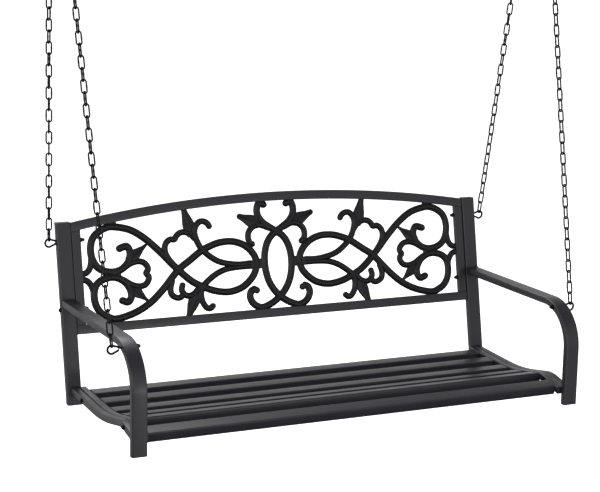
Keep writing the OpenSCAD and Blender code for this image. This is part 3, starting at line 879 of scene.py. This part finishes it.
def add_washer(shape, line_at, x):
    """A flat washer from x going outwards, with softened edges."""
    edge = 0.0002
    section = [
        (0, WASHER_HOLE), (0, WASHER_R - edge), (edge, WASHER_R), (WASHER - edge, WASHER_R),
        (WASHER, WASHER_R - edge), (WASHER, WASHER_HOLE),
    ]
    steps = 36
    rings = []
    for k in range(steps):
        turn = 2 * math.pi * k / steps
        rings.append([
            (x + along, line_at[1] + r * math.cos(turn), line_at[2] + r * math.sin(turn))
            for along, r in section
        ])
    shape.sweep(rings, closed=True)


def build_eye_nuts():
    washers, nuts = Shape(), Shape()
    arm_inner = BENCH_HALF - MAIN_W
    for side, sign in SIDES.items():
        for end, face, dome in (("front", arm_inner, FRONT_CAP), ("back", WINDOW_HALF, BACK_CAP)):
            at = eye_middle("%s_%s_eye_bolt" % (side, end), sign) + Vector((0, 0, EYE_DROP))
            seat = sign * face
            add_washer(washers, at, seat - (WASHER if sign > 0 else 0))
            add_nut(nuts, at, seat - sign * WASHER, -sign, dome)
    washers.piece("eye_bolt_washer_set", BLACK_HARDWARE, SWING, ["eye_bolt_washers"])
    nuts.piece("eye_bolt_cap_nut_set", BLACK_HARDWARE, SWING, ["eye_bolt_cap_nuts"])


def add_bolt(shape, line_at, sign, tip, seat):
    """A round-headed bolt along X: its shank from tip to seat, and its head beyond."""
    shank = seat - tip
    rim = HEAD_H * 0.35
    levels = [
        (0.0, BOLT_R * 0.7), (0.001, BOLT_R), (shank, BOLT_R), (shank + 0.0001, HEAD_R * 0.95),
        (shank + 0.0005, HEAD_R), (shank + rim, HEAD_R),
    ]
    for turn in (25, 45, 65, 80, 88):
        a = math.radians(turn)
        size = 0.25 + 0.75 * math.cos(a) if turn < 88 else 0.05
        levels.append((shank + rim + (HEAD_H - rim) * math.sin(a), HEAD_R * size))
    total = shank + HEAD_H
    levels = [(at / total, r) for at, r in levels]
    add_turned(shape, line_at, sign * tip, sign * (tip + total), levels, 32)


def build_panel_bolts():
    bolts, washers, nuts = Shape(), Shape(), Shape()
    at = middle("panel_bolts")
    for sign in SIDES.values():
        add_bolt(bolts, at, sign, WINDOW_HALF - WASHER - HEX_HEIGHT, BENCH_HALF + WASHER)
        add_washer(washers, at, sign * BENCH_HALF - (0 if sign > 0 else WASHER))
        add_washer(washers, at, sign * WINDOW_HALF - (WASHER if sign > 0 else 0))
        add_nut(nuts, at, sign * (WINDOW_HALF - WASHER), -sign, PANEL_CAP)
    bolts.piece("panel_bolt_set", BLACK_HARDWARE, SWING, ["panel_bolts"])
    washers.piece("panel_washer_set", BLACK_HARDWARE, SWING, ["panel_washers"])
    nuts.piece("panel_cap_nut_set", BLACK_HARDWARE, SWING, ["panel_cap_nuts"])


def build_seat_bolts():
    bolts, washers, nuts = Shape(), Shape(), Shape()
    outer_face = SIDE_X + RAIL_W / 2
    for distance in SEAT_BOLTS:
        y, z, _ = state_at(SEAT_PATH, SEAT_START, distance)
        at = Vector((0, y, z))
        for sign in SIDES.values():
            add_bolt(bolts, at, sign, SLAT_END - WASHER - HEX_HEIGHT - BOLT_PAST, outer_face + WASHER)
            add_washer(washers, at, sign * outer_face - (0 if sign > 0 else WASHER))
            add_washer(washers, at, sign * SLAT_END - (WASHER if sign > 0 else 0))
            add_nut(nuts, at, sign * (SLAT_END - WASHER), -sign)
    bolts.piece("seat_bolt_set", BLACK_HARDWARE, SWING, ["seat_bolts"])
    washers.piece("seat_washer_set", BLACK_HARDWARE, SWING, ["seat_washers"])
    nuts.piece("seat_nut_set", BLACK_HARDWARE, SWING, ["seat_nuts"])


def build_hooks():
    """Screw hooks: a bowl, a neck bent back over it, a collar and a threaded, pointed shank."""
    wire = HOOK_WIRE / 2
    for side, sign in SIDES.items():
        name = side + "_ceiling_hook"
        at = middle(side + "_hanging_ring")
        bearing = at.z + RING_R - RING_WIRE / 2 - wire - RUNNING_GAP
        shape = Shape()
        bowl = Vector((0, 0, HOOK_BOWL))
        knee = HOOK_BOWL + HOOK_BOWL / math.sin(math.radians(HOOK_MEET))
        points, radii = [], []
        for k in range(49):
            turn = math.radians(HOOK_TIP + (HOOK_MEET - HOOK_TIP) * k / 48)
            points.append(bowl + Vector((math.cos(turn), 0, math.sin(turn))) * HOOK_BOWL)
            radii.append(wire * min(1.0, (0.15 + k / 1.6) ** 0.5) if k < 2 else wire)
        bend_start = points[-1] * 0.45 + Vector((0, 0, knee)) * 0.55
        bend_end = Vector((0, 0, knee + 0.004))
        corner = Vector((0, 0, knee))
        for k in range(9):
            t = k / 8
            points.append(bend_start * (1 - t) ** 2 + corner * 2 * t * (1 - t) + bend_end * t ** 2)
            radii.append(wire)
        thread_from = knee + HOOK_NECK
        points.append(Vector((0, 0, thread_from)))
        radii.append(wire)
        origin = Vector((at.x, at.y, bearing))
        placed = [origin + Vector((sign * p.x, 0, p.z)) for p in points]
        tube_along(shape, placed, radii, 20)
        add_thread(shape, origin + Vector((0, 0, thread_from - 0.0005)), wire, high(name).z)
        add_collar(shape, origin + Vector((0, 0, thread_from)), COLLAR_R, COLLAR_H)
        shape.piece(name + "_screw", BLACK_HARDWARE, CEILING, [name], sharp=40)


def add_thread(shape, base, radius, top, pitch=0.0028, depth=0.0007):
    """A wood screw thread up Z from base, whose last 9 mm taper to a point at top."""
    steps, rise = 28, 0.00035
    count = int((top - base.z) / rise)
    taper = 0.009
    rings = []
    for i in range(count + 1):
        z = base.z + (top - base.z) * i / count
        body = radius * min(1.0, 0.14 + 0.86 * (top - z) / taper)
        ring = []
        for k in range(steps):
            turn = 2 * math.pi * k / steps
            phase = ((z - base.z) / pitch - k / steps) % 1.0
            crest = max(0.0, 1 - abs(phase - 0.5) / 0.28)
            cut = depth * (1 - crest) * min(1.0, (z - base.z) / 0.003)
            r = max(body - cut, body * 0.3)
            ring.append((base.x + r * math.cos(turn), base.y + r * math.sin(turn), z))
        rings.append(ring)
    shape.sweep(rings)


def add_collar(shape, top, radius, height):
    """The flange that stops the screw at the ceiling."""
    levels = (
        (-height, 0.62), (-height * 0.75, 0.90), (-height * 0.45, 1.0), (-height * 0.12, 1.0), (0, 0.95),
    )
    rings = []
    for rise, size in levels:
        r = radius * size
        rings.append([(top.x + r * c, top.y + r * s, top.z + rise) for c, s in circle(1.0, 36)])
    shape.sweep(rings)


# --- plugs and welds ----------------------------------------------------------------------

def add_cap(shape, outline_size, corner, place, thickness, outward):
    """A moulded plug's cap with a softened rim: place(u, v, depth) gives the point."""
    width, height = outline_size
    levels = ((1.0, 0.0), (1.0, 0.45), (0.985, 0.75), (0.955, 0.94), (0.90, 1.0))
    rings = []
    for size, share in levels:
        narrower = (1 - size) * height
        outline = rounded_box(width - narrower, height - narrower, corner, 5)
        rings.append([place(u, v, thickness * share) for u, v in outline])
    shape.sweep(rings if outward else rings[::-1])


def build_plugs():
    lean_run = math.tan(LEAN)
    stretch = 1 / math.cos(LEAN)
    top, foot = Shape(), Shape()
    for sign in SIDES.values():
        x = sign * SIDE_X
        for shape, height, way in ((top, POST_TOP - PLUG_CAP, 1), (foot, PLUG_CAP, -1)):
            centre = slide_to_plane(
                np.asarray([panel_point(x, height)]), UP_SLOPE, *end_plane(z=height))[0]

            def place(u, v, depth, centre=centre, way=way):
                rise = way * depth
                return (centre[0] + u, centre[1] + v * stretch + rise * lean_run, centre[2] + rise)

            add_cap(shape, (MAIN_W, MAIN_T), MAIN_CORNER, place, PLUG_CAP, way > 0)
    top.piece("post_top_caps", BLACK_PLASTIC, SWING, ["post_top_plugs"])
    foot.piece("post_foot_caps", BLACK_PLASTIC, SWING, ["post_foot_plugs"])

    legs = Shape()
    for sign in SIDES.values():
        def place(u, v, depth, sign=sign):
            return (sign * SIDE_X + u, BENCH_FRONT + MAIN_T / 2 + v, PLUG_CAP - depth)

        add_cap(legs, (MAIN_W, MAIN_T), MAIN_CORNER, place, PLUG_CAP, False)
    legs.piece("leg_foot_caps", BLACK_PLASTIC, SWING, ["leg_foot_plugs"])

    rails = Shape()
    states = run_states(SEAT_PATH, *SEAT_START)
    for sign in SIDES.values():
        for node_y, state, way in (
            (low("seat_right_rail").y, state_at(SEAT_PATH, SEAT_START, 0.005), -1),
            (high("seat_right_rail").y, states[-1], 1),
        ):
            y, z, heading = state
            z_here = z + (node_y - y) * math.tan(math.radians(heading))
            centre = Vector((sign * INNER_RAIL_X, node_y, z_here))

            def place(u, v, depth, centre=centre, way=way, heading=heading):
                z = centre.z + v / math.cos(math.radians(heading))
                return (centre.x + u, centre.y + way * depth, z)

            add_cap(rails, (RAIL_W, RAIL_H), RAIL_CORNER, place, PLUG_CAP, way < 0)
    rails.piece("seat_rail_caps", BLACK_PLASTIC, SWING, ["seat_rail_plugs"])


weld_random = random.Random(7)


def add_weld(shape, points, radius, ripple=0.0022):
    """A weld bead through points: a rippled, slightly uneven cord of metal."""
    p = np.asarray(points, float)
    travel = np.concatenate([[0], np.cumsum(np.linalg.norm(np.diff(p, axis=0), axis=1))])
    count = max(int(travel[-1] / (ripple / 4)), 6)
    at = np.linspace(0, travel[-1], count + 1)
    line = np.stack([np.interp(at, travel, p[:, k]) for k in range(3)], axis=1)
    ahead = np.gradient(line, axis=0)
    ahead /= np.linalg.norm(ahead, axis=1)[:, None]
    rings = []
    swell = 1.0
    for i, (point, heading) in enumerate(zip(line, ahead)):
        if i % 4 == 0:
            swell = 1 + weld_random.uniform(-0.10, 0.10)
        helper = np.array((1.0, 0, 0)) if abs(heading[0]) < 0.8 else np.array((0, 0, 1.0))
        side = np.cross(heading, helper)
        side /= np.linalg.norm(side)
        end = min(1.0, 0.35 + min(i, count - i) / 4)
        r = radius * swell * end * (1 + 0.10 * math.cos(2 * math.pi * i / 4))
        rings.append(ring_at(circle(r, 8), point, side, np.cross(heading, side)))
    shape.sweep(rings)


def build_welds():
    shape = Shape()
    # slats to the seat's rails: along the top
    for index in range(SLATS):
        centre, along, square = slat_middle(index)
        for sign in SIDES.values():
            end = centre + ACROSS * sign * (SLAT_END - WELD_INSET)
            edge = end + square * (SLAT_T / 2 - WELD_INSET)
            reach = SLAT_W / 2 - SLAT_CORNER
            add_weld(shape, [edge - along * reach, edge + along * reach], SLAT_WELD)
    # side rails to legs and posts: round the tube
    outline = rounded_box(RAIL_W, RAIL_H, RAIL_CORNER, 3)
    states = run_states(SEAT_PATH, *SEAT_START, every=1.5)
    rings = run_rings(
        outline, 0, states, end_plane(y=BENCH_FRONT + MAIN_T), POST_PLANE)
    arm = run_rings(
        rounded_box(MAIN_W, MAIN_T, MAIN_CORNER, 3), 0,
        run_states(ARM_PATH, *ARM_START), last=POST_PLANE)
    for sign in SIDES.values():
        for ring in (rings[0], rings[-1], arm[-1]):
            round_it = [p + np.array((sign * SIDE_X, 0, 0)) for p in ring]
            add_weld(shape, round_it + round_it[:1], TUBE_WELD)
    # the panel's stiles to its rails
    for sign in SIDES.values():
        for out in (PANEL_DEPTH / 2 - WELD_INSET, -PANEL_DEPTH / 2 + WELD_INSET):
            for rail in ("low", "high"):
                line = []
                for k in range(7):
                    x = sign * (WINDOW_HALF + 0.002 + (PANEL_STILE - 0.004) * k / 6)
                    up = PANEL_LOW + PANEL_RAIL if rail == "low" else arch_height(x)
                    line.append(panel_point(x, up, out))
                add_weld(shape, line, PANEL_WELD)
    shape.piece("weld_beads", WELD_COAT, SWING, sharp=80)


# --- stage --------------------------------------------------------------------------------

def build_stage():
    floor_mesh = bpy.data.meshes.new("floor")
    reach = 40.0
    corners = [(x * reach, y * reach, -FLOOR_DROP) for x, y in ((-1, -1), (1, -1), (1, 1), (-1, 1))]
    floor_mesh.from_pydata(corners, [], [(0, 1, 2, 3)])
    floor = bpy.data.objects.new("floor", floor_mesh)
    bpy.context.scene.collection.objects.link(floor)
    pale = bpy.data.materials.new("pale_floor")
    pale.use_nodes = True
    shader = pale.node_tree.nodes["Principled BSDF"]
    shader.inputs["Base Color"].default_value = (0.86, 0.86, 0.86, 1)
    shader.inputs["Roughness"].default_value = 0.9
    shader.inputs["Emission Color"].default_value = (1, 1, 1, 1)
    shader.inputs["Emission Strength"].default_value = 0.9
    floor_mesh.materials.append(pale)

    # The camera sees the floor, but the floor lights nothing and isn't reflected: the light comes
    # from round the horizon and from the softboxes.
    for ray in ("visible_diffuse", "visible_glossy"):
        setattr(floor, ray, False)
    world = bpy.data.worlds.new("studio")
    world.use_nodes = True
    tree = world.node_tree
    sky = tree.nodes["Background"]
    place = tree.nodes.new("ShaderNodeTexCoord")
    height = tree.nodes.new("ShaderNodeSeparateXYZ")
    tree.links.new(place.outputs["Generated"], height.inputs[0])
    shade = tree.nodes.new("ShaderNodeValToRGB")
    # dark straight down, bright round the horizon and dim straight up
    dark, light = shade.color_ramp.elements
    dark.position, dark.color = 0.20, (0.05, 0.05, 0.055, 1)
    light.position, light.color = 0.90, (0.30, 0.30, 0.30, 1)
    for at in (0.43, 0.70):
        shade.color_ramp.elements.new(at).color = (1, 1, 1, 1)
    half = tree.nodes.new("ShaderNodeMapRange")
    half.inputs["From Min"].default_value = -1
    tree.links.new(height.outputs["Z"], half.inputs["Value"])
    tree.links.new(half.outputs["Result"], shade.inputs["Fac"])
    tree.links.new(shade.outputs["Color"], sky.inputs["Color"])
    sky.inputs["Strength"].default_value = 0.75
    bpy.context.scene.world = world
    bpy.context.scene.view_settings.view_transform = "Standard"


def soft_light(name, place, aim, size, power):
    data = bpy.data.lights.new(name, "AREA")
    data.shape = "RECTANGLE"
    data.size, data.size_y = size
    data.energy = power
    light = bpy.data.objects.new(name, data)
    light.location = place
    light.rotation_euler = (Vector(aim) - Vector(place)).to_track_quat("-Z", "Y").to_euler()
    bpy.context.scene.collection.objects.link(light)


def build_lights():
    soft_light("top_softbox", (-0.6, 2.6, 3.6), (0, 0, 0.2), (3.6, 2.6), 130)
    soft_light("front_softbox", (-3.4, -3.6, 1.6), (0, 0, 0.3), (2.4, 1.6), 50)
    soft_light("low_softbox", (0.46, -2.48, -0.10), (-0.62, -0.28, 0.15), (0.7, 0.16), 6)


# The camera, solved on the corners that the photo's dimension lines mark
CAMERA_AT = Vector((-2.08724, -3.90095 + BENCH_FRONT, 1.34458))
CAMERA_TURNS = (26.302, 11.617, 1.329)   # degrees to the right, downwards, and of roll
CAMERA_LENS = 108.66
CAMERA_SHIFT = (-0.0256, 0.0243)


def build_camera():
    """The view: from the front left, a little above, with a long lens."""
    azimuth, elevation, roll = (math.radians(turn) for turn in CAMERA_TURNS)
    ahead = Vector((
        math.cos(elevation) * math.sin(azimuth),
        math.cos(elevation) * math.cos(azimuth),
        -math.sin(elevation),
    ))
    right = Vector((math.cos(azimuth), -math.sin(azimuth), 0))
    up = right.cross(ahead)
    tilted_right = right * math.cos(roll) + up * math.sin(roll)
    tilted_up = up * math.cos(roll) - right * math.sin(roll)
    data = bpy.data.cameras.new("camera")
    data.lens = CAMERA_LENS
    data.sensor_width = 36
    data.shift_x, data.shift_y = CAMERA_SHIFT
    camera = bpy.data.objects.new("camera", data)
    turn = Matrix((tilted_right, tilted_up, -ahead)).transposed().to_4x4()
    camera.matrix_world = Matrix.Translation(CAMERA_AT) @ turn
    bpy.context.scene.collection.objects.link(camera)
    bpy.context.scene.camera = camera


# --- the scene ----------------------------------------------------------------------------

build_arms()
build_posts()
build_seat_rails()
build_slats()
build_panel_frame()
build_scroll()
build_chains()
build_rings()
build_eye_bolts()
build_eye_nuts()
build_panel_bolts()
build_seat_bolts()
build_hooks()
build_plugs()
build_welds()
build_stage()
build_lights()
build_camera()
